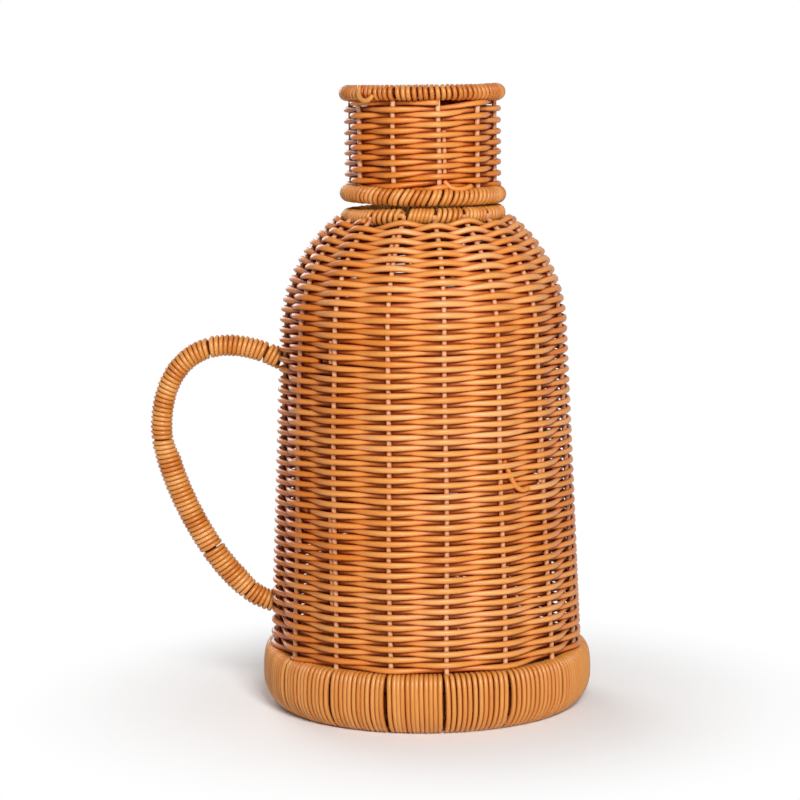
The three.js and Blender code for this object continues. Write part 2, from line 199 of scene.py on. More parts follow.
print("a quarter of the way through a smooth step it has reached", smooth(0.25))

# %% [markdown]
# ## Strand meshes
# A piece is one or more tubes with closed ends in one mesh. The mesh keeps the length along the strand
# and the turn round it as a UV map, and a slowly changing tone as an attribute, for the finish to
# read. Joining many objects is slow, so the tubes are put together as arrays.

# %% Strand meshes


def grid_faces(rows, sides):
    """Quads of a closed tube grid, and the grid place (row, side) of each of their corners."""
    row, side = np.meshgrid(np.arange(rows - 1), np.arange(sides), indexing="ij")
    steps = np.stack([
        np.stack([row, side], -1),
        np.stack([row, side + 1], -1),
        np.stack([row + 1, side + 1], -1),
        np.stack([row + 1, side], -1),
    ], -2).reshape(-1, 4, 2)
    return steps[..., 0] * sides + steps[..., 1] % sides, steps


def strand_mesh(name, tubes, tones):
    """One mesh of several tubes with closed ends, a UV map (length in metres, turn) and tones."""
    points, faces, uvs, shades, first = [], [], [], [], 0
    for surface, tone in zip(tubes, tones):
        rows, sides = surface.shape[:2]
        quads, steps = grid_faces(rows, sides)
        length = path_length(surface.mean(1))
        ends = [np.arange(sides)[::-1] + first, np.arange(sides) + first + (rows - 1) * sides]
        points.append(surface.reshape(-1, 3) * MM)
        faces += (quads + first).tolist()
        faces += [end.tolist() for end in ends]
        lengthwise = np.stack([length[steps[..., 0]] * MM, steps[..., 1] / sides], -1)
        uvs += [lengthwise.reshape(-1, 2), np.zeros((2 * sides, 2))]
        shades.append(np.repeat(np.broadcast_to(tone, rows), sides))
        first += rows * sides
    mesh = bpy.data.meshes.new(name)
    mesh.from_pydata(np.concatenate(points), [], faces)
    mesh.uv_layers.new(name="strand").data.foreach_set("uv", np.concatenate(uvs).ravel())
    mesh.attributes.new("tone", "FLOAT", "POINT").data.foreach_set("value", np.concatenate(shades))
    mesh.polygons.foreach_set("use_smooth", np.ones(len(mesh.polygons), bool))
    mesh.update()
    return mesh


def dress(mesh, material, body, slot, *nodes):
    """Object of a mesh that rides on a body and stands for nodes of the frame."""
    piece = bpy.data.objects.new(mesh.name, mesh)
    bpy.context.collection.objects.link(piece)
    piece.data.materials.append(material)
    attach(piece, body)
    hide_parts(*nodes)
    return piece


print("a tube of 3 circles has", len(grid_faces(3, ROUND_SIDES)[0]), "faces and 2 ends")

# %% [markdown]
# ## Shader nodes
# A finish is a graph of shader nodes. Made one by one, every node takes several lines to create, set
# and link, so a few helpers do that in one call each.

# %% Shader nodes


def new_finish(name):
    """New material with nodes: the material, its node tree and its main shader."""
    material = bpy.data.materials.new(name)
    material.use_nodes = True
    return material, material.node_tree, material.node_tree.nodes["Principled BSDF"]


def feed(tree, inputs, values):
    """Give each named input a number, a colour or the output of another node."""
    for name, value in values.items():
        if isinstance(value, bpy.types.NodeSocket):
            tree.links.new(value, inputs[name])
        else:
            inputs[name].default_value = value


def add_node(tree, kind, values, **settings):
    """New shader node. Its settings come first, because they decide which inputs it has."""
    node = tree.nodes.new("ShaderNode" + kind)
    for name, value in settings.items():
        setattr(node, name, value)
    feed(tree, node.inputs, values)
    return node


def math_node(tree, operation, *values):
    """Result of a Math node on numbers or outputs."""
    return add_node(tree, "Math", dict(enumerate(values)), operation=operation).outputs["Value"]


def map_range(tree, value, start, stop, first, last, **settings):
    """A value between start and stop, mapped to one between first and last."""
    values = {"Value": value, "From Min": start, "From Max": stop, "To Min": first, "To Max": last}
    return add_node(tree, "MapRange", values, **settings).outputs["Result"]


def colour_ramp(tree, factor, places, colours):
    """Colour read from a ramp that has the given colours at the given places."""
    node = add_node(tree, "ValToRGB", {"Fac": factor})
    stops = node.color_ramp.elements
    stops[0].position = places[0]
    stops[1].position = places[-1]
    for place in places[1:-1]:
        stops.new(place)
    for stop, colour in zip(stops, colours):
        stop.color = (*colour, 1)
    return node.outputs["Color"]


def tinted(tree, colour, tint, share):
    """Colour multiplied by a tint, as far as the share says."""
    values = {"Factor": share, "A": colour, "B": (*tint, 1)}
    return add_node(tree, "Mix", values, data_type="RGBA", blend_type="MULTIPLY").outputs["Result"]


# %% [markdown]
# ## Cane
# Synthetic cane is an extruded plastic strand: a warm brown with fine streaks along its length and
# a satin sheen. A picture of cane would repeat, so the streaks come from noise that is stretched along
# the strand's own UV map. The tone attribute makes one stretch a little paler or redder than the next.
# Painted shade makes crevices a deep red and the side of a strand that looks inwards a dull brown.

# %% Cane shading
STREAK_SCALE = (90, 7, 1)  # to the metre along a strand, and to the turn round it
STREAK_DETAIL = 3
STREAK_SHARE = 0.55
TONE_PLACES = (0.1, 0.5, 0.9)
# painted shade in crevices: reach and samples of the occlusion, the open share it spans, its tint
CREVICE_REACH = 0.004  # metres
CREVICE_SAMPLES = 6
CREVICE_SHADE_SPAN = (0.1, 0.95)
CREVICE_SHADE_TINT = (0.62, 0.05, 0.0)
# painted shade on the side of a strand that looks inwards: its turn, span and tint
INNER_TURN = 0.5  # turn round a strand at which it looks inwards
INNER_SHADE_SPAN = (0.1, 0.25)
INNER_SHADE_TINT = (0.5, 0.2, 0.08)
# gloss where shade is painted
PAINTED_SHADE_GLOSS = 0.02
ROUGH_SPREAD = 0.07
BUMP_STRENGTH = 0.25
BUMP_HEIGHT = 0.0001  # metres
PLASTIC_IOR = 1.5


def crevice_shade_share(tree, most, alone):
    """Share of painted shade: 0 in the open, up to the given most deep in a crevice. Alone means that
    only the piece's own strands make its crevices."""
    settings = {"samples": CREVICE_SAMPLES, "only_local": alone}
    open_share = add_node(tree, "AmbientOcclusion", {"Distance": CREVICE_REACH}, **settings)
    return map_range(tree, open_share.outputs["AO"], *CREVICE_SHADE_SPAN, most, 0.0)


def inner_shade_share(tree, uv):
    """Share of painted shade that is 1 on the inner side of a strand, by the distance of the turn from
    INNER_TURN.
    """
    turn = add_node(tree, "SeparateXYZ", {"Vector": uv}).outputs["Y"]
    away = math_node(tree, "ABSOLUTE", math_node(tree, "SUBTRACT", turn, INNER_TURN))
    return map_range(tree, away, *INNER_SHADE_SPAN, 1.0, 0.0)


def cane(name, tones, roughness, gloss, crevices, alone):
    """Satin plastic strand. Its own tone plus a share of the streaks picks a colour between three
    tones. Painted shade darkens crevices and the inner side, which lose their gloss there too, and the
    streaks vary roughness and relief."""
    material, tree, shader = new_finish(name)
    uv = add_node(tree, "UVMap", {}, uv_map="strand").outputs["UV"]
    stretched = add_node(tree, "Mapping", {"Vector": uv, "Scale": STREAK_SCALE}).outputs["Vector"]
    noise = {"Vector": stretched, "Scale": 1.0, "Detail": STREAK_DETAIL}
    streak = add_node(tree, "TexNoise", noise).outputs["Fac"]
    tone = add_node(tree, "Attribute", {}, attribute_name="tone").outputs["Fac"]
    streaked = math_node(tree, "MULTIPLY_ADD", streak, STREAK_SHARE, tone)
    level = math_node(tree, "SUBTRACT", streaked, STREAK_SHARE / 2)
    # painted shade: deep red in crevices, dull brown on the side that looks inwards
    crevice = crevice_shade_share(tree, crevices, alone)
    inner = inner_shade_share(tree, uv)
    plain = colour_ramp(tree, level, TONE_PLACES, tones)
    colour = tinted(tree, tinted(tree, plain, INNER_SHADE_TINT, inner), CREVICE_SHADE_TINT, crevice)
    painted_shade = math_node(tree, "MAXIMUM", crevice, inner)
    least, most = roughness - ROUGH_SPREAD, roughness + ROUGH_SPREAD
    relief = {"Height": streak, "Strength": BUMP_STRENGTH, "Distance": BUMP_HEIGHT}
    feed(tree, shader.inputs, {
        "Base Color": colour,
        "IOR": PLASTIC_IOR,
        "Specular IOR Level": map_range(tree, painted_shade, 0.0, 1.0, gloss, PAINTED_SHADE_GLOSS),
        "Roughness": map_range(tree, streak, 0.0, 1.0, least, most),
        "Normal": add_node(tree, "Bump", relief).outputs["Normal"],
    })
    return material


# %% Cane finishes
WEAVER_TONES = ((0.57, 0.16, 0.012), (0.66, 0.27, 0.06), (0.75, 0.385, 0.15))
STAKE_TONES = ((0.62, 0.275, 0.108), (0.74, 0.385, 0.19), (0.81, 0.48, 0.28))
WRAP_TONES = ((0.47, 0.145, 0.016), (0.59, 0.245, 0.046), (0.67, 0.33, 0.1))
DISC_TONES = ((0.42, 0.11, 0.01), (0.55, 0.18, 0.024), (0.64, 0.25, 0.05))
WEAVER_CANE = cane("weaver_cane", WEAVER_TONES, roughness=0.36, gloss=0.3, crevices=1.0, alone=False)
STAKE_CANE = cane("stake_cane", STAKE_TONES, roughness=0.36, gloss=0.3, crevices=0.4, alone=False)
WRAP_CANE = cane("wrap_cane", WRAP_TONES, roughness=0.36, gloss=0.45, crevices=1.0, alone=True)
DISC_CANE = cane("disc_cane", DISC_TONES, roughness=0.42, gloss=0.3, crevices=1.0, alone=True)
print("finishes:", ", ".join(name for name in bpy.data.materials.keys() if name.endswith("cane")))

# %% [markdown]
# ## The walls
# Both walls are given by a line in the half plane of radius and height, at a distance along the
# stake, with its outward normal. A drawn profile could give that too, but a straight lean and an arc
# have exact normals. Stakes and strands only differ in how they leave the line. At the left the neck
# ring and the cap's seat ring give way to each other, and daylight shows between them.

# %% Wall lines
RING_PARTING = 1.2
PARTING_WIDTH = 1.05  # radians


def front(angle):
    """Angle from the front of the jug, to the right, between -pi and pi."""
    return (angle + np.pi / 2 + np.pi) % (2 * np.pi) - np.pi


def bell(angle, place, width):
    """Bell round the jug: e to the power of minus the squared distance from a place, in widths."""
    return np.exp(-((front(angle) - place) / width) ** 2)


def parting(angle):
    """How far each of the two rings gives way: a flat bell, with a fourth power, at the left."""
    return RING_PARTING * np.exp(-((front(angle) + np.pi / 2) / PARTING_WIDTH) ** 4)


def neck_height(angle):
    """Height of the neck ring's middle, which dips at the left."""
    return NECK_HEIGHT - parting(angle)


def seat_height(angle):
    """Height of the middle of the cap's seat ring, which rises at the left."""
    return SEAT_HEIGHT + parting(angle)


def body_wall(along):
    """Radius, height and outward normal (across, up) of the body's stake line."""
    straight = along < LEAN_LENGTH
    climb = (np.maximum(along, LEAN_LENGTH) - LEAN_LENGTH) / SHOULDER_STAKE_RADIUS
    dome_radius = SHOULDER_STAKE_RADIUS * np.cos(climb)
    dome_height = SHOULDER_HEIGHT + SHOULDER_STAKE_RADIUS * np.sin(climb)
    radius = np.where(straight, FOOT_STAKE_RADIUS + LEAN_ACROSS * np.maximum(along, 0), dome_radius)
    height = np.where(straight, FOOT_TOP + LEAN_UP * along, dome_height)
    across = np.where(straight, LEAN_UP, np.cos(climb))
    up = np.where(straight, -LEAN_ACROSS, np.sin(climb))
    return radius, height, across, up


def cap_wall(along):
    """The same for the upright cap wall, from the middle of its seat ring."""
    flat = 0 * along
    return CAP_STAKE_RADIUS + flat, SEAT_HEIGHT + along, 1 + flat, flat


print("stake line, radius at the dome's end:", body_wall(np.array(WALL_LENGTH))[0].round(1))

# %% [markdown]
# ## How the stakes stand
# A weaver never gets stakes quite upright: the pull of the strands leans each one over a little. Pure
# chance could place them, but the leans of the front are read from the object, because the eye
# follows those lines first.

# %% Places of the stakes
BODY_STAKE_ANGLE = np.radians(7.3)
CAP_STAKE_ANGLE = np.radians(-78)
BODY_ROWS = 87
CAP_ROWS = 16
LEAN_AT_FOOT = (0, 0.4, -0.6, 0.3, 0.5, -0.4, 0.2, -0.7, 0.3, 1.0, 2.0, 1.4, -0.7, -0.4, 1.1, 0.5)
LEAN_AT_DOME = (0.5, -0.4, 0.3, -0.6, 0.2, 0.5, -0.5, 0.4, -0.3, -1.2, -1.6, 0.3, 0.1, -0.1, -1.1, 1.6)
LEAN_SPAN = 110.0
BODY_WAVE = (0.3, 17, 1.9)  # size, span along the wall, shift from stake to stake
CAP_WAVE = (0.25, 9, 2.3)


def stake_wave(which, along, size, span, shift):
    """Slow wave of a stake to and fro: the sine of the distance in spans, shifted for each stake."""
    return size * np.sin(along / span + shift * which)


def body_drift(stake, along):
    """How far a body stake stands aside, in millimetres: a lean from foot to dome and a slow wave."""
    share = np.clip(along / LEAN_SPAN, 0, 1)
    which = np.asarray(stake) % BODY_STAKES
    lean = np.array(LEAN_AT_FOOT)[which] * (1 - share) + np.array(LEAN_AT_DOME)[which] * share
    return lean + stake_wave(which, along, *BODY_WAVE)


def cap_drift(stake, along):
    """The same for a cap stake, which is short and only waves a little."""
    return stake_wave(np.asarray(stake) % CAP_STAKES, along, *CAP_WAVE)


def stake_angle(wall, stake):
    """Angle of a stake about the jug's axis, before it drifts."""
    return wall["angle"] + 2 * np.pi * stake / wall["stakes"]


BODY = {"wall": body_wall, "drift": body_drift, "stakes": BODY_STAKES, "angle": BODY_STAKE_ANGLE,
        "first": 2, "rows": BODY_ROWS}
CAP = {"wall": cap_wall, "drift": cap_drift, "stakes": CAP_STAKES, "angle": CAP_STAKE_ANGLE,
       "first": 0, "rows": CAP_ROWS}
print("stakes at the foot lean aside by up to", max(LEAN_AT_FOOT), "mm")

# %% [markdown]
# ## Stakes
# The stakes are the warp of the weave. They stand in the foot, follow the wall and end in the ring
# above. Where a strand ran out, its tail was tucked in beside a stake, which shows as a short double
# stake. At the neck each body stake is bent over the ring and held by its winding. One stake could be
# copied round the axis, but each has its own lean, so each is worked out along the wall line.

# %% Stakes
STAKE_SIDES = 10
STAKE_POINTS = 70
STAKE_END = 2.5  # height of a body stake's lower end above the table
CAP_STAKE_INSET = 2.0
STAKE_TONE = 0.5
STAKE_TONE_SPREAD = 0.3
STAKE_TONE_SPAN = 200
STAKE_TONE_WAVE = 90
STAKE_SEED = 40
TAIL_RADIUS = 0.95
TAIL_POINTS = 24
TAIL_TONE = 0.35
BENT_POINTS = 16
BENT_START = np.radians(-75)
BENT_STOP = np.radians(10)
BENT_PROUD = 0.1
BENT_TONE = 0.2
# tails of a stake: place aside, lower end and upper end along the wall
BODY_TAILS = {9: ((2.2, 48, 65),), 10: ((-2.1, 27, 68), (-2.2, 133, 143)), 11: ((-2.3, 175, 193),),
              14: ((-2.2, 79, 95),), 3: ((2.1, 60, 80),), 6: ((-2.2, 110, 130),)}
CAP_TAILS = {0: ((2.4, 8.5, 29),)}


def stake_path(wall, stake, start, stop, aside=0.0, points=STAKE_POINTS):
    """Path up the wall at one stake, set aside by the stake's own drift."""
    along = np.linspace(start, stop, points)
    radius, height, across, up = wall["wall"](along)
    turn = stake_angle(wall, stake) + (wall["drift"](stake, along) + aside) / radius
    return polar(radius, turn, height), polar(across, turn, up)


def bent_end(angle):
    """End of a body stake bent up against the neck ring: an arc round the ring's section."""
    phase = np.linspace(BENT_START, BENT_STOP, BENT_POINTS)
    reach = RING_SECTION - STAKE_RADIUS + BENT_PROUD
    turn = np.full_like(phase, angle)
    path = polar(RING_RADIUS + reach * np.cos(phase), turn, neck_height(turn) + reach * np.sin(phase))
    return path, polar(np.cos(phase), turn, np.sin(phase))


def make_stakes(prefix, body, wall, start, stop, tails, bent):
    """One piece for each stake of a wall, with its tucked tails and its bent end."""
    places = np.linspace(0, STAKE_TONE_SPAN, STAKE_POINTS)
    for stake in range(wall["stakes"]):
        tone = STAKE_TONE + wander(places, STAKE_TONE_SPREAD, STAKE_TONE_WAVE, STAKE_SEED + stake)
        tubes = [tube(*stake_path(wall, stake, start, stop), STAKE_RADIUS, STAKE_SIDES)]
        tones = [tone]
        for aside, low, high in tails.get(stake, ()):
            path, outward = stake_path(wall, stake, low, high, aside, TAIL_POINTS)
            tubes.append(tube(path, outward, TAIL_RADIUS, STAKE_SIDES))
            tones.append(TAIL_TONE)
        if bent:
            angle = stake_angle(wall, stake) + wall["drift"](stake, WALL_LENGTH) / RING_RADIUS
            tubes.append(tube(*bent_end(angle), STAKE_RADIUS, STAKE_SIDES))
            tones.append(BENT_TONE)
        node = f"{prefix}_{stake + 1:02d}"
        dress(strand_mesh(node + "_cane", tubes, tones), STAKE_CANE, body, "stake_cane", node)
    print(wall["stakes"], "stakes for the", body)


BODY_STAKE_SPAN = (STAKE_END - FOOT_TOP, WALL_LENGTH - RING_SECTION)
CAP_STAKE_SPAN = (CAP_STAKE_INSET, CAP_WALL_LENGTH - CAP_STAKE_INSET)
make_stakes("body_stake", "jug", BODY, *BODY_STAKE_SPAN, BODY_TAILS, bent=True)
make_stakes("cap_stake", "cap", CAP, *CAP_STAKE_SPAN, CAP_TAILS, bent=False)

# %% [markdown]
# ## The weave
# Two strands chase each other up the wall in spirals, half a turn apart. Each passes the stakes
# outside and inside in turn, and with an even number of stakes the one is always outside where the
# other is inside. Separate hoops would be easier, but on the real jug a row has no end. A cosine of
# the number of stakes passed gives the whole weave. At both ends a strand lies flat along the ring for
# most of half a turn, so no wide gap is left there.

# %% How a strand climbs
SAMPLES_PER_BAY = 10
STRANDS = 2
WEAVE_BITE = 0.35  # how much a strand and a stake press into each other
WEAVE_OFFSET = STAKE_RADIUS + STRAND_RADIUS - WEAVE_BITE
CHORD = 0.55
FLAT_TURNS = 0.38
HIDDEN_TURNS = 0.06
SETTLED_ROWS = 5
STRAND_TALL = 1.12  # height of a weaving strand's section against its thickness
SQUEEZE = 0.1
BACK_TALL = 0.22
BACK_START = np.pi / 2
BACK_SPAN = np.pi / 3
DOME_TALL = 0.12
DOME_SLOPE = 0.25


def settle(turns):
    """Turns by which a strand lags behind a steady climb: it stays flat for most of the first half
    turn, then steps up over the other strand's end, and the lag fades within a few rows."""
    row = np.floor(turns * STRANDS)
    within = turns - row / STRANDS
    step = smooth((within - FLAT_TURNS) / (1 / STRANDS - FLAT_TURNS))
    return within * (1 - step) * np.clip(1 - row / SETTLED_ROWS, 0, 1)


def section_height(turn, up, between):
    """Height of a strand's section against its thickness: taller at the back and in the dome, where
    rows lie wider apart, and lower between stakes, where it lies against its neighbours."""
    behind = smooth((np.abs(front(turn)) - BACK_START) / BACK_SPAN)
    tall = STRAND_TALL + BACK_TALL * behind + DOME_TALL * smooth(up / DOME_SLOPE)
    return tall * (1 - SQUEEZE * between)


def weave_path(wall, strand, start, stop, sway):
    """Spiral of one strand: at stake k it stands cos(pi k) offsets from the stake line, in or out,
    and between stakes it sinks by a share of the gap between the circle and its chord. It starts a
    little early, under the other strand's first step."""
    stakes = wall["stakes"]
    first = wall["first"] + strand * stakes / STRANDS
    total = wall["rows"] / STRANDS
    turns = np.linspace(-HIDDEN_TURNS, total, int(total * stakes * SAMPLES_PER_BAY) + 1)
    stake = first + turns * stakes
    share = (turns - settle(turns) + settle(total - turns)) / total
    angle = stake_angle(wall, stake)
    along = start + (stop - start) * share
    along = along + sway(angle, along, share)
    below = np.floor(stake).astype(int)
    blend = smooth(stake - below)
    drift = wall["drift"](below, along) * (1 - blend) + wall["drift"](below + 1, along) * blend
    radius, height, across, up = wall["wall"](along)
    between = np.sin(np.pi * stake) ** 2
    chord = CHORD * radius * (1 - np.cos(np.pi / stakes)) * between
    offset = WEAVE_OFFSET * np.cos(np.pi * (stake + strand)) - chord
    turn = angle + drift / radius
    path = polar(radius + across * offset, turn, height + up * offset)
    return path, polar(across, turn, up), section_height(turn, up, between)


print("a strand passes", int(BODY_ROWS / STRANDS * BODY_STAKES), "stakes on its way up the body")

# %% [markdown]
# ## How the rows sway
# Rows pushed down by hand are never level. Noise on every point would make the strands shake, so the
# rows sway together by slow waves round the jug, and a few places have a lift or a dip of their own.

# %% Sway of the rows
SWAY_WAVE = 6.0
# each wave: times round the jug, climb along the wall, size, seed
BODY_WAVES = ((2, 25, 0.35, 11), (3, -40, 0.2, 12))
BODY_RIPPLE = ((9, np.inf, 0.12, 13),)
CAP_WAVES = ((2, 9, 0.2, 21), (7, np.inf, 0.08, 22))
LOOSER_ABOVE = 0.6
# each lift: size, angle from the front, width, and the climb over which it fades, in millimetres on the
# body and as a share of the wall on the cap
FOOT_LIFT = (1.3, 0.83, 0.16, 8.0)
CAP_LIFT = (0.3, -0.35, 0.25, 1 / 12)
CAP_DIP = (-0.8, 0.05, 0.14, 1 / 25)
RIM_PUSH = 0.6
RIM_PUSH_SPAN = 1 / 25


def row_waves(angle, along, waves):
    """Sum of waves, each a wander of its times round the jug plus the distance along in climbs."""
    parts = [wander(times * angle + along / climb, size, SWAY_WAVE, seed)
             for times, climb, size, seed in waves]
    return sum(parts)


def held_ends(share):
    """Share of sway, 0 at both ends of the wall and 1 in its middle: the root of sin(pi share)."""
    return np.sin(np.pi * np.clip(share, 0, 1)) ** 0.5


def local_lift(angle, climb, size, place, width, fade):
    """Rows lifted at one place: a bell round the jug that fades as e to the power of - climb / fade."""
    return size * bell(angle, place, width) * np.exp(-climb / fade)


def body_sway(angle, along, share):
    """Rows sway by slow waves, looser near the neck, and the lowest rows are lifted off the foot at the
    right of the front."""
    waves = row_waves(angle, along, BODY_WAVES) * held_ends(share) + row_waves(angle, along, BODY_RIPPLE)
    return waves * (1 + LOOSER_ABOVE * share) + local_lift(angle, along, *FOOT_LIFT)


def cap_sway(angle, along, share):
    """The cap's rows sway less, the lowest rise and dip a little at the front, and the last row is
    pushed up against the rim."""
    push = RIM_PUSH * np.exp(-((1 - share) / RIM_PUSH_SPAN) ** 2)
    lift = local_lift(angle, share, *CAP_LIFT) + local_lift(angle, share, *CAP_DIP)
    return row_waves(angle, along, CAP_WAVES) * held_ends(share) + lift + push


ROUND = np.linspace(0, 2 * np.pi, 200)
print(f"half way up, a body row swings over {np.ptp(body_sway(ROUND, WALL_LENGTH / 2, 0.5)):.2f} mm")

# %% [markdown]
# ## Weaving
# Each strand is one path, cut into the equal lengths that the frame has as nodes. A loose end sticks
# out where a strand was joined. A finish could be painted by hand, but a tone that wanders along the
# strand follows every over and under by itself. Painted light raises it towards the front, where the
# lamp falls.

# %% Weave
WEAVER_SIDES = 9
FOOT_CLEARANCE = 0.1
NECK_CLEARANCE = 2.2
SEAT_BITE = 0.6  # how far the lowest cap row sinks into the seat ring
BODY_TONE = 0.06
CAP_TONE = -0.12
# painted light: the tone rises towards the front and its right, where the key lamp falls
FRONT_PAINTED_LIGHT = 0.5
PAINTED_LIGHT_AT = 0.3  # radians to the right of the front
LONG_TONE = (0.26, 2500)  # size and wavelength, in samples
LONG_TONE_SEED = 60
SHORT_TONE = (0.15, 300)
SHORT_TONE_SEED = 80
LOOSE_POINTS = 40
LOOSE_TONE = 0.35
# a loose end: its stake, and four corners as places aside, along and out of the wall
BODY_LOOSE_END = (13, ((1.8, 91, 0.3), (4.2, 84.5, 1.2), (6.0, 75.0, 2.2), (14.0, 78.0, 1.2)))
CAP_LOOSE_END = (0, ((2.2, 7.0, 0.6), (4.0, 3.2, 2.4), (7.5, 2.2, 3.2), (14.0, 4.6, 2.4)))


def loose_path(wall, stake, corners):
    """Loose end of a strand: a cubic curve in places aside from a stake, along and out of the wall."""
    aside, along, out = bezier(corners, np.linspace(0, 1, LOOSE_POINTS)).T
    radius, height, across, up = wall["wall"](along)
    turn = stake_angle(wall, stake) + (wall["drift"](stake, along) + aside) / radius
    return polar(radius + across * out, turn, height + up * out), polar(across, turn, up)


def weaver_tone(path, strand, base):
    """Tone along a strand: a long and a short wander, and painted light that makes it paler towards the
    front.
    """
    step = np.arange(len(path))
    from_front = front(np.arctan2(path[:, 1], path[:, 0]))
    # painted light, paler where the key lamp falls
    paler = FRONT_PAINTED_LIGHT * np.maximum(np.cos(from_front - PAINTED_LIGHT_AT), 0)
    slow = wander(step, *LONG_TONE, LONG_TONE_SEED + strand)
    return base + slow + wander(step, *SHORT_TONE, SHORT_TONE_SEED + strand) + paler


def make_weave(prefix, body, wall, start, stop, sway, loose, base_tone):
    """Pieces of both strands of a wall, each strand cut into equal parts. The loose end belongs to the
    first piece."""
    parts = count_nodes(prefix) // STRANDS
    for strand in range(STRANDS):
        path, outward, squeeze = weave_path(wall, strand, start, stop, sway)
        tone = weaver_tone(path, strand, base_tone)
        surface = tube(path, outward, STRAND_RADIUS, WEAVER_SIDES, squeeze)
        cuts = np.linspace(0, len(path), parts + 1).astype(int)
        for part in range(parts):
            keep = slice(cuts[part], cuts[part + 1])
            node = f"{prefix}_{strand * parts + part + 1:02d}"
            ends = [tube(*loose_path(wall, *loose), STRAND_RADIUS)] if strand + part == 0 else []
            mesh = strand_mesh(node + "_cane", [surface[keep], *ends], [tone[keep], LOOSE_TONE])
            dress(mesh, WEAVER_CANE, body, "weaver_cane", node)
            print(node, len(mesh.polygons), "faces")


BODY_SPAN = (STRAND_RADIUS + FOOT_CLEARANCE, WALL_LENGTH - RING_SECTION - NECK_CLEARANCE)
CAP_SPAN = (SEAT_SECTION + STRAND_RADIUS - SEAT_BITE, CAP_WALL_LENGTH - RIM_SECTION - STRAND_RADIUS)
make_weave("body_weaver", "jug", BODY, *BODY_SPAN, body_sway, BODY_LOOSE_END, BODY_TONE)
make_weave("cap_weaver", "cap", CAP, *CAP_SPAN, cap_sway, CAP_LOOSE_END, CAP_TONE)

# %% [markdown]
# ## Windings
# A ring is a hoop with a strand wound round it, and the foot is a tall ring wound the same way. A
# torus with a bump pattern would look flat at the edge, so the strand itself is wound. Each turn has
# its place round the jug. The strand goes up outside and down inside, and steps on to the next place
# while it is on the inner side. Turns lean over as the winder's hand left them.

# %% Windings
RING_STATIONS = 18  # points of the path in each turn
WINDING_GAP = 0.02  # part of a turn left open at the end
STEP_START = 0.55
STEP_SPAN = 0.4
BEND_BELOW = 0.4
TURN_UNEVEN = (0.14, 3.1)  # size, and wavelength in turns
PLACE_UNEVEN = (0.008, 2.3)
BULK_AT = 1.25
BULK_WIDTH = 0.3
TURN_TONE_WAVE = 5.3
RING_LOOSE_TONE = 0.4


def winding(places, section, radius, height, lean, stations, drawn):
    """Strand wound turn after turn round a ring: the section gives the offsets across and up for a
    phase, the places give the angle of each turn, and the lean shears a turn by its height. A turn
    that is drawn aside bends there with the square of the height, less below than above."""
    turn = np.linspace(0, len(places) - 1 - WINDING_GAP, (len(places) - 1) * stations)
    which = np.floor(turn).astype(int)
    step = smooth((turn - which - STEP_START) / STEP_SPAN)
    angle = places[which] + (places[which + 1] - places[which]) * step
    phase = 2 * np.pi * turn - np.pi / 2
    across, up = section(phase, turn, angle)
    bend = np.where(up > 0, 1.0, BEND_BELOW) * (up / np.abs(up).max()) ** 2
    angle = angle + lean(angle) * up / radius + drawn[which] * bend
    path = polar(radius + across, angle, height(angle) + up)
    return path, polar(np.cos(phase), angle, np.sin(phase)), which


def round_section(size, seed, bulk=0.0):
    """Section of a wound ring: a circle, a little uneven from turn to turn and bulkier at the right."""
    def section(phase, turn, angle):
        bulge = bulk * bell(angle, BULK_AT, BULK_WIDTH)
        reach = size - WRAP_RADIUS + wander(turn, *TURN_UNEVEN, seed) + bulge
        return reach * np.cos(phase), reach * np.sin(phase)
    return section


def even_places(turns, start, seed):
    """Angles of turns spread evenly round the ring, a little uneven as laid by hand."""
    which = np.arange(turns)
    return start + 2 * np.pi * which / turns + wander(which, *PLACE_UNEVEN, seed)


def make_winding(node, body, places, section, radius, height, lean, stations, seed, drawn=0.0, loose=(),
                 base_tone=0.5, spread=0.4):
    """Wound piece in place of a node, each turn with a tone of its own, and its loose strands."""
    drawn = np.broadcast_to(drawn, len(places))
    closed = np.append(places, places[0] + 2 * np.pi)
    path, outward, which = winding(closed, section, radius, height, lean, stations, drawn)
    tubes = [tube(path, outward, WRAP_RADIUS), *loose]
    tones = [base_tone + wander(which, spread, TURN_TONE_WAVE, seed)] + [RING_LOOSE_TONE] * len(loose)
    dress(strand_mesh(node + "_cane", tubes, tones), WRAP_CANE, body, "wrap_cane", node)
    print(node, len(places), "turns")


# %% [markdown]
# ## Turns between the stakes
# On the neck ring and the foot the stakes part the turns into groups. Even turns with some left out
# would leave gaps of one size, so each bay between two stakes is filled by itself, up to a slit.

# %% Bays


def stake_angles(along):
    """Angles of all body stakes at a distance along the wall, and the first one again at the end."""
    stake = np.arange(BODY_STAKES + 1)
    radius = body_wall(np.array(along))[0]
    return stake_angle(BODY, stake) + body_drift(stake, along) / radius


def bay_places(counts, slits, edges, radius):
    """Angles of turns that fill each bay between two stakes and leave a slit at each stake."""
    half = np.append(slits, slits[0]) / radius / 2
    low, high = edges[:-1] + half[:-1], edges[1:] - half[1:]
    bays = zip(low, high - low, counts)
    return np.concatenate([at + wide * (np.arange(count) + 0.5) / count for at, wide, count in bays])


NECK_EDGES = stake_angles(WALL_LENGTH)
print("bays at the neck, in degrees:", np.degrees(np.diff(NECK_EDGES)).round(1))

# %% [markdown]
# ## Three wound rings
# The neck ring is wound in groups, because the bent ends of the stakes stand between them, and it
# dips a little at the left. The cap's seat ring rises there. It is wound evenly, as the rim is: the
# seat leans over to the right at the front, and the rim stands almost upright. A short end lies on the
# neck ring and a loop hangs from the rim, each a cubic curve of its own.

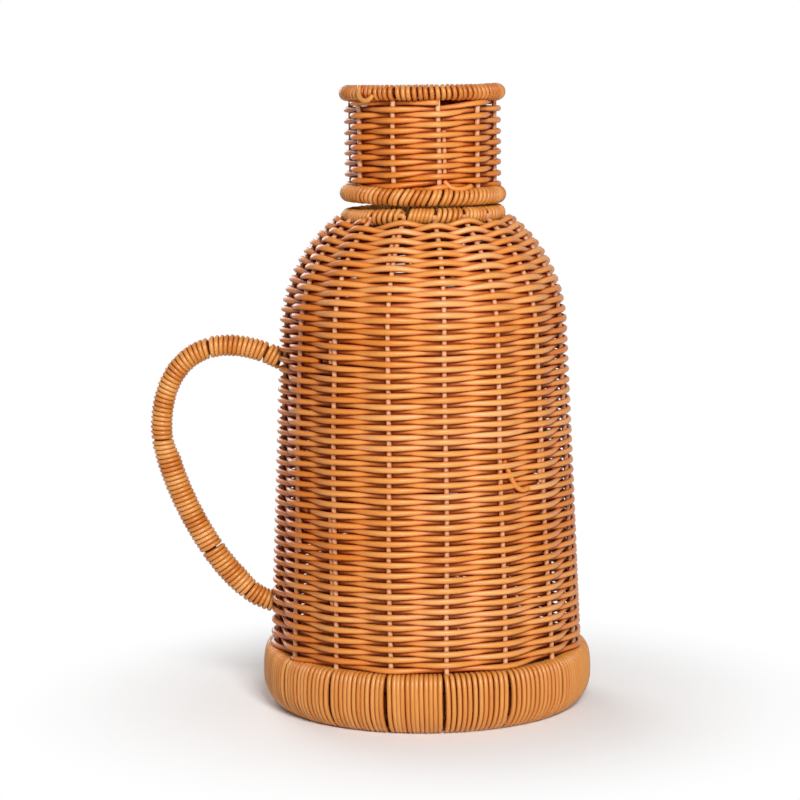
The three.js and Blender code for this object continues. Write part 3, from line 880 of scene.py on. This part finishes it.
# %% Rings
RING_TURNS = 87
RING_START = np.pi / 2
NECK_TURNS = (5, 6)
NECK_SLIT = 1.3
WIDE_SLIT = 3.8
WIDE_SLIT_STAKE = 11
NOTCH_AT = -0.33
NOTCH_SIZE = 0.016
NOTCH_FADE = 0.12
NECK_LEAN = 0.24
NECK_LEAN_WAVE = 0.1
SEAT_LEAN = 0.22
SEAT_LEAN_MORE = 0.36
SEAT_LEAN_AT = -0.2
SEAT_LEAN_WIDTH = 0.55
RIM_LEAN = -0.1
RIM_LEAN_WAVE = 0.06
RIM_INSET = 0.15
RIM_BULK = 0.35
SEAT_TONE = 0.4
RIM_TONE = 0.2
LOOP_POINTS = 24
LYING_RADIUS = 1.4
# four corners each, as angles from the front, heights and radii
LYING_CORNERS = ((-0.36, 223.0, 35.3), (-0.32, 223.1, 35.7), (-0.28, 223.0, 35.7), (-0.24, 222.8, 35.3))
LOOP_CORNERS = ((-0.85, 279.4, 36.4), (-0.84, 272.2, 39.0), (-0.66, 271.4, 38.4), (-0.64, 275.4, 36.6))


def neck_lean(angle):
    """The neck ring's turns lean to the right, by more and less in three waves."""
    return NECK_LEAN + NECK_LEAN_WAVE * np.sin(3 * angle)


def seat_lean(angle):
    """The seat ring's turns lean most at the left of the front."""
    return SEAT_LEAN + SEAT_LEAN_MORE * bell(angle, SEAT_LEAN_AT, SEAT_LEAN_WIDTH)


def rim_lean(angle):
    """The rim's turns stand upright, with a slight lean to the left."""
    return RIM_LEAN + RIM_LEAN_WAVE * np.sin(2 * angle)


def rim_height(angle):
    """The rim lies level."""
    return RIM_HEIGHT


def notched(places, notch, size):
    """Turns moved apart at one angle from the front, less and less with the distance from it."""
    off = front(places) - notch
    return places + size * np.sign(off) * np.exp(-np.abs(off) / NOTCH_FADE)


def ring_strand(corners, size):
    """Loose strand on a ring: a cubic curve in angles from the front, heights and radii."""
    angle, height, radius = bezier(corners, np.linspace(0, 1, LOOP_POINTS)).T
    path = polar(radius, angle - np.pi / 2, height)
    return tube(path, polar(np.ones(LOOP_POINTS), angle - np.pi / 2, 0.0), size)


NECK_COUNTS = [NECK_TURNS[bay % 2] for bay in range(BODY_STAKES)]
NECK_SLITS = np.where(np.arange(BODY_STAKES) == WIDE_SLIT_STAKE, WIDE_SLIT, NECK_SLIT)
NECK_PLACES = bay_places(NECK_COUNTS, NECK_SLITS, NECK_EDGES, RING_RADIUS)
RIM_PLACES = notched(even_places(RING_TURNS, RING_START, seed=221), NOTCH_AT, NOTCH_SIZE)
SEAT_PLACES = even_places(RING_TURNS, RING_START, seed=211)
LYING_END = ring_strand(LYING_CORNERS, LYING_RADIUS)
RIM_LOOP = ring_strand(LOOP_CORNERS, WRAP_RADIUS)
make_winding("neck_wrap", "jug", NECK_PLACES, round_section(RING_SECTION, seed=201), RING_RADIUS,
             neck_height, neck_lean, RING_STATIONS, seed=202, loose=[LYING_END])
make_winding("cap_seat_wrap", "cap", SEAT_PLACES, round_section(SEAT_SECTION, seed=212), RING_RADIUS,
             seat_height, seat_lean, RING_STATIONS, seed=213, base_tone=SEAT_TONE)
make_winding("cap_rim_wrap", "cap", RIM_PLACES,
             round_section(RIM_SECTION - RIM_INSET, seed=222, bulk=RIM_BULK), RIM_RADIUS,
             rim_height, rim_lean, RING_STATIONS, seed=223, loose=[RIM_LOOP], base_tone=RIM_TONE)

# %% [markdown]
# ## Foot
# The foot is a tall ring. Its turns lie side by side in each bay and leave a narrow dark slit at the
# stake, which closes at the top and bottom edge. A turned profile with grooves would have no slits.
# The section is a box with well rounded edges, as strand bent over two hoops takes it.

# %% Foot
FOOT_STATIONS = 36
FOOT_THICKNESS = 11.5
FOOT_TURNS_IN_BAY = 12
FOOT_SLIT = 1.5
FOOT_CLOSED_SLIT = 0.2
FOOT_UNEVEN = (0.3, 2.6)  # millimetres, and wavelength in turns
SLIT_ASIDE = {11: -1.2, 12: -1.9, 13: -1.0}
FOOT_LEAN_WAVE = 0.015
FOOT_TONE_SPREAD = 0.2
UPPER_POWER = 3.0
LOWER_POWER = 2.2
FOOT_DRAWN_IN = 3.5
FOOT_SWELL = 2.6
FOOT_SWELL_AT = -1.85
FOOT_SWELL_WIDTH = 0.4


def signed_power(value, power):
    """Size of a value raised to a power, with the value's own sign."""
    return np.sign(value) * np.abs(value) ** power


def foot_section(phase, turn, angle):
    """Superellipse |x/a|^n + |z/b|^n = 1, with a higher power n above than below: a box with well
    rounded edges, rounder at the table, where it is also drawn in. Behind the handle it is taller."""
    power = 2 / np.where(np.sin(phase) > 0, UPPER_POWER, LOWER_POWER)
    across = signed_power(np.cos(phase), power) * (FOOT_THICKNESS / 2 - WRAP_RADIUS)
    rise = signed_power(np.sin(phase), power)
    taller = FOOT_SWELL * bell(angle, FOOT_SWELL_AT, FOOT_SWELL_WIDTH)
    up = rise * (FOOT_TOP / 2 - WRAP_RADIUS) + taller * np.clip(rise, 0, 1)
    return across - FOOT_DRAWN_IN * np.clip(-rise, 0, 1) ** 2, up


def foot_height(angle):
    """The foot's middle is half as high as its top."""
    return FOOT_TOP / 2


def foot_lean(angle):
    """The foot's turns stand upright, but for a trace of lean to either side."""
    return FOOT_LEAN_WAVE * np.sin(5 * angle)


def foot_places(slit):
    """Angles of the foot's turns, with a slit of the given width at each stake."""
    aside = np.array([SLIT_ASIDE.get(stake % BODY_STAKES, 0) for stake in range(BODY_STAKES + 1)])
    edges = stake_angles(0.0) + aside / FOOT_RADIUS
    counts = [FOOT_TURNS_IN_BAY] * BODY_STAKES
    return bay_places(counts, np.full(BODY_STAKES, slit), edges, FOOT_RADIUS)


FOOT_PLACES = foot_places(FOOT_SLIT)
FOOT_DRAWN = foot_places(FOOT_CLOSED_SLIT) - FOOT_PLACES
FOOT_SHIFTS = wander(np.arange(len(FOOT_PLACES)), *FOOT_UNEVEN, seed=302) / FOOT_RADIUS
make_winding("foot_wrap", "jug", FOOT_PLACES + FOOT_SHIFTS, foot_section,
             FOOT_RADIUS - FOOT_THICKNESS / 2, foot_height, foot_lean, FOOT_STATIONS, seed=301,
             drawn=FOOT_DRAWN, spread=FOOT_TONE_SPREAD)

# %% [markdown]
# ## Handle
# The handle is a stiff core wound with cane, bent to a bow and rooted in the wall. A part of a circle
# would be simpler, but the bow is fuller above than below, so its centreline is two cubic curves that
# meet where it reaches out farthest. The winding is a helix round it, in the plane across the curve at
# each length. Here and there two turns have drifted apart, and below the bow it is thicker inside.

# %% Handle centreline
HANDLE_REACH = 119.5
HANDLE_BOW = 125.5
HANDLE_UPPER_ROOT = 156.0
HANDLE_LOWER_ROOT = 45.5
UPPER_PULL = (32, 17.5)  # from the upper root, outwards and up
LOWER_PULL = (25.5, 2)  # from the lower root, outwards and up
BOW_PULL_UP = 34.5
BOW_PULL_DOWN = 20.4
CURVE_POINTS = 400
LINE_POINTS = 2000


def wall_radius(height):
    """Stake radius of the straight wall at a height."""
    return FOOT_STAKE_RADIUS + LEAN_ACROSS / LEAN_UP * (height - FOOT_TOP)


def handle_line():
    """Centreline as reach from the axis and height, evenly spaced along its length."""
    top = np.array([wall_radius(HANDLE_UPPER_ROOT), HANDLE_UPPER_ROOT])
    low = np.array([wall_radius(HANDLE_LOWER_ROOT), HANDLE_LOWER_ROOT])
    bow = (HANDLE_REACH, HANDLE_BOW)
    share = np.linspace(0, 1, CURVE_POINTS)
    upper = bezier([top, top + UPPER_PULL, (HANDLE_REACH, HANDLE_BOW + BOW_PULL_UP), bow], share)
    lower = bezier([bow, (HANDLE_REACH, HANDLE_BOW - BOW_PULL_DOWN), low + LOWER_PULL, low], share)
    line = np.concatenate([upper, lower[1:]])
    length = path_length(line)
    even = np.linspace(0, length[-1], LINE_POINTS)
    return even, np.stack([np.interp(even, length, line[:, axis]) for axis in (0, 1)], -1)


print("handle", round(handle_line()[0][-1], 1), "mm along")

# %% Handle winding
HANDLE_RADIUS = 5.0
HANDLE_TURNS = 83
HANDLE_INSET = 2.5
HANDLE_GAPS = ((9, 1.0), (34.5, 0.9), (86.3, 0.5), (139, 0.8), (165, 0.5))  # place along, and size
GAP_TURN = 0.5  # part of a turn in which the strand crosses a gap
HANDLE_SWELL = 0.65
SWELL_START = (88, 10)  # place along, and length over which it grows or fades
SWELL_STOP = (158, 14)
HANDLE_UNEVEN = (0.12, 3.3)
HANDLE_TONE = 0.5
HANDLE_TONE_SPREAD = (0.4, 8)


def step_along(along, place, length):
    """Smooth step from 0 to 1 that starts at a place along the handle."""
    return smooth((along - place) / length)


def handle_winding():
    """Helix of strand round the centreline: even turns, with a jump of the given size at each gap. Below
    the bow the handle is thicker on its inner side."""
    length, line = handle_line()
    start, stop = HANDLE_INSET, length[-1] - HANDLE_INSET
    pitch = (stop - start - sum(size for _, size in HANDLE_GAPS)) / HANDLE_TURNS
    turn = np.linspace(0, HANDLE_TURNS, HANDLE_TURNS * RING_STATIONS)
    along = start + pitch * turn
    for place, size in HANDLE_GAPS:
        at = np.floor((place - start) / pitch)
        along = along + size * smooth((turn - at) / GAP_TURN)
    tangent = unit(np.gradient(line, axis=0))
    middle = np.stack([np.interp(along, length, line[:, axis]) for axis in (0, 1)], -1)
    ahead = unit(np.stack([np.interp(along, length, tangent[:, axis]) for axis in (0, 1)], -1))
    zero = np.zeros_like(turn)
    centre = np.stack([-middle[:, 0], zero, middle[:, 1]], -1)
    away = np.stack([-ahead[:, 1], zero, -ahead[:, 0]], -1)
    sideways = np.stack([zero, zero + 1, zero], -1)
    phase = 2 * np.pi * turn[:, None]
    outward = np.cos(phase) * away + np.sin(phase) * sideways
    swell = HANDLE_SWELL * step_along(along, *SWELL_START) * (1 - step_along(along, *SWELL_STOP))
    reach = HANDLE_RADIUS - WRAP_RADIUS + swell + wander(turn, *HANDLE_UNEVEN, seed=401)
    return centre + away * swell[:, None] + outward * reach[:, None], outward, turn


def make_handle():
    """Wound handle in place of its node."""
    path, outward, turn = handle_winding()
    tone = HANDLE_TONE + wander(turn, *HANDLE_TONE_SPREAD, seed=402)
    mesh = strand_mesh("handle_wrap_cane", [tube(path, outward, WRAP_RADIUS)], [tone])
    dress(mesh, WRAP_CANE, "jug", "wrap_cane", "handle_wrap")


make_handle()
print("handle_wrap", HANDLE_TURNS, "turns")

# %% [markdown]
# ## Floor and cap top
# Both are closed by a flat weave: stakes run out from the middle like spokes, and a strand spirals
# outwards over and under them, as the foot of a basket is begun. A plain disc would close them too, but
# the cap's top shows from above. One spoke more than there are stakes makes their number odd, so that a
# single strand passes over a spoke in one row and under it in the next.

# %% Woven discs
DISC_SIDES = 7
DISC_ROW_GAP = 0.15
SAMPLES_PER_SPOKE = 6
SPOKE_POINTS = 12
SPOKE_START = 0.3  # of the radius at which the spiral starts
SPOKE_SHARE = 0.6  # of the strand's radius
DISC_TONE = 0.5
DISC_TONE_SPREAD = (0.4, 400)
DISC_SEED = 500
SPOKE_TONE = 0.7
FLOOR_INNER = 8.0
TOP_INNER = 5.0
UP = 1.0
DOWN = -1.0


def woven_disc(node, body, spokes, inner, first_angle, facing):
    """Flat spiral weave: height is a cosine of the number of spokes passed, radius grows steadily. It
    faces up or down, away from the inside."""
    (_, _, bottom), (radius, _, top) = node_box(node)
    strand = min(STRAND_RADIUS, (top - bottom) / 4)
    level = (bottom + top) / 2
    rows = int((radius - inner) / (2 * strand + DISC_ROW_GAP))
    passed = np.linspace(0, rows * spokes, rows * spokes * SAMPLES_PER_SPOKE + 1)
    spiral = inner + (radius - strand - inner) * passed / passed[-1]
    angle = first_angle + 2 * np.pi * passed / spokes
    rise = (top - bottom) / 2 - strand
    outward = np.array([[0.0, 0.0, facing]])
    path = polar(spiral, angle, level + rise * np.cos(np.pi * passed))
    tubes = [tube(path, outward, strand, DISC_SIDES)]
    tones = [DISC_TONE + wander(np.arange(len(path)), *DISC_TONE_SPREAD, DISC_SEED + spokes)]
    reach = np.linspace(inner * SPOKE_START, radius, SPOKE_POINTS)
    for index in range(spokes):
        turn = np.full(SPOKE_POINTS, first_angle + 2 * np.pi * index / spokes)
        tubes.append(tube(polar(reach, turn, level), outward, strand * SPOKE_SHARE, DISC_SIDES))
        tones.append(SPOKE_TONE)
    dress(strand_mesh(node + "_cane", tubes, tones), DISC_CANE, body, "woven_disc", node)
    print(node, rows, "rows round", spokes, "spokes")


woven_disc("base_floor", "jug", BODY_STAKES + 1, FLOOR_INNER, BODY_STAKE_ANGLE, DOWN)
woven_disc("cap_top", "cap", CAP_STAKES + 1, TOP_INNER, CAP_STAKE_ANGLE, UP)

# %% [markdown]
# ## Hidden wire
# The hoops and the handle's core are wire. They show only as something dark in a slit, so new meshes
# would be lost on them: the frame's own solids stay and get a brown lacquer with a little unevenness.

# %% Wire lacquer
PATCH_SCALE = 220
LACQUER_TONES = ((0.06, 0.014, 0.004), (0.16, 0.04, 0.01))
LACQUER_ROUGHNESS = (0.35, 0.6)
LACQUER_GLOSS = 0.05
WIRE_NODES = ("foot_hoop_lower", "foot_hoop_upper", "neck_hoop", "handle_core", "cap_seat_hoop",
              "cap_rim_hoop")


def wire_lacquer():
    """Dark lacquer on wire, a little lighter and rougher in patches."""
    material, tree, shader = new_finish("frame_wire")
    place = add_node(tree, "TexCoord", {}).outputs["Object"]
    patch = add_node(tree, "TexNoise", {"Vector": place, "Scale": PATCH_SCALE}).outputs["Fac"]
    feed(tree, shader.inputs, {
        "Base Color": colour_ramp(tree, patch, (0.0, 1.0), LACQUER_TONES),
        "Roughness": map_range(tree, patch, 0.0, 1.0, *LACQUER_ROUGHNESS),
        "Specular IOR Level": LACQUER_GLOSS,
    })
    return material


WIRE = wire_lacquer()
for node in WIRE_NODES:
    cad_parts[node].data.materials.clear()
    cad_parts[node].data.materials.append(WIRE)
print(len(WIRE_NODES), "wires lacquered")

# %% [markdown]
# ## Floor under the jug
# A pale floor lies under the jug and takes its shadow. A floor that ends would show an edge, and an
# endless one turns grey in the distance. This one fades into the white surroundings, for the eye and
# for reflections only, so that the white adds no light.

# %% Floor under the jug
FLOOR_SIDE = 12.0  # metres, as all sizes of the stage
FADE_START = 0.06
FADE_END = 0.2
FLOOR_COLOUR = (0.95, 0.95, 0.95, 1)
FLOOR_ROUGHNESS = 0.9


def seen_rays(tree):
    """Share that is 1 for rays from the camera, from gloss and through glass, and 0 for light."""
    rays = add_node(tree, "LightPath", {}).outputs
    direct = math_node(tree, "MAXIMUM", rays["Is Camera Ray"], rays["Is Glossy Ray"])
    return math_node(tree, "MAXIMUM", direct, rays["Is Transmission Ray"])


def floor_finish():
    """Pale floor that turns to plain white for seen rays, by a smooth step of the distance."""
    material, tree, shader = new_finish("floor")
    feed(tree, shader.inputs, {"Base Color": FLOOR_COLOUR, "Roughness": FLOOR_ROUGHNESS})
    place = add_node(tree, "TexCoord", {}).outputs["Object"]
    away = add_node(tree, "VectorMath", {0: place}, operation="LENGTH").outputs["Value"]
    fade = map_range(tree, away, FADE_START, FADE_END, 0.0, 1.0, interpolation_type="SMOOTHSTEP")
    share = math_node(tree, "MULTIPLY", fade, seen_rays(tree))
    white = add_node(tree, "Emission", {}).outputs["Emission"]
    mix = add_node(tree, "MixShader", {"Fac": share, 1: shader.outputs["BSDF"], 2: white})
    feed(tree, tree.nodes["Material Output"].inputs, {"Surface": mix.outputs["Shader"]})
    return material


def make_floor():
    """Square floor at the height of the table."""
    half = FLOOR_SIDE / 2
    corners = [(-half, -half, 0), (half, -half, 0), (half, half, 0), (-half, half, 0)]
    mesh = bpy.data.meshes.new("floor")
    mesh.from_pydata(corners, [], [(0, 1, 2, 3)])
    floor = bpy.data.objects.new("floor", mesh)
    bpy.context.collection.objects.link(floor)
    mesh.materials.append(floor_finish())


make_floor()
print("floor fades to white between", FADE_START, "and", FADE_END, "m from the axis")

# %% [markdown]
# ## Light
# Soft studio light lets the strands cast small shadows on each other and no hard ones. A large lamp
# stands at the front, to the upper right, and a weak one below it fills the shadows. A third shines
# from behind, so that the edges and the gaps stay bright. The white surroundings add a little.

# %% Light
LAMP_TARGET = (0, 0, 0.14)
# each lamp: place, side length, watts
LAMPS = {
    "key": ((0.25, -1.4, 0.85), 0.5, 27),
    "fill": ((0.35, -1.6, 0.3), 0.6, 2),
    "back": ((-0.7, 1.4, 0.7), 1.0, 14),
}
WHITE = (1, 1, 1, 1)
SURROUNDINGS = 0.1


def make_lamp(name, place, size, power):
    """Square soft lamp that faces the middle of the jug."""
    data = bpy.data.lights.new(name, "AREA")
    data.size = size
    data.energy = power
    lamp = bpy.data.objects.new(name, data)
    lamp.location = place
    direction = Vector(LAMP_TARGET) - lamp.location
    lamp.rotation_euler = direction.to_track_quat("-Z", "Y").to_euler()
    bpy.context.collection.objects.link(lamp)


def make_world():
    """White surroundings that give the object only part of their strength as light."""
    world = bpy.data.worlds.new("world")
    world.use_nodes = True
    tree = world.node_tree
    light = tree.nodes["Background"]
    feed(tree, light.inputs, {"Color": WHITE, "Strength": SURROUNDINGS})
    white = add_node(tree, "Background", {"Color": WHITE}).outputs["Background"]
    mix = add_node(tree, "MixShader", {"Fac": seen_rays(tree), 1: light.outputs["Background"], 2: white})
    feed(tree, tree.nodes["World Output"].inputs, {"Surface": mix.outputs["Shader"]})
    bpy.context.scene.world = world


make_world()
for name, (place, size, power) in LAMPS.items():
    make_lamp(name, place, size, power)
bpy.context.scene.view_settings.view_transform = "Standard"
print(len(LAMPS), "lamps set")
